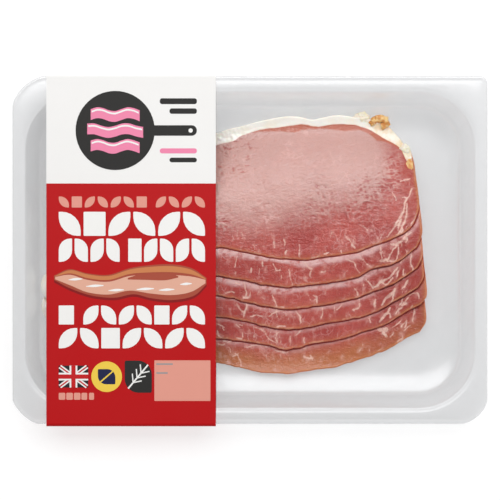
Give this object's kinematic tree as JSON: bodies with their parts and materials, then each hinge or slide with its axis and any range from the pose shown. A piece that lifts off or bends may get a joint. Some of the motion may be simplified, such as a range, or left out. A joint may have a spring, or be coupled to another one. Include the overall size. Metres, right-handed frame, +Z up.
{
  "type": "bacon pack",
  "caption": "Sealed clear tray of back bacon rashers laid like roof tiles under a clear peel film, with a printed card band slipped round one end.",
  "frame": {"origin": "on the table, under the middle of the pack's outline as seen from above", "axes": "+Z up; +X along the pack, away from the end with the card band; +Y across the pack, towards the rashers' long fat edges and the top of the band's print"},
  "size_m": [0.245, 0.182, 0.0215],
  "materials": {
    "clear_tray": "gloss",
    "clear_film": "gloss",
    "printed_card": "satin",
    "cured_pork": "satin"
  },
  "bodies": {
    "root": {"tray": "clear_tray", "lid_film": "clear_film", "sleeve": "printed_card", "rasher_1": "cured_pork", "rasher_2": "cured_pork", "rasher_3": "cured_pork", "rasher_4": "cured_pork", "rasher_5": "cured_pork", "rasher_6": "cured_pork"}
  },
  "joints": []
}
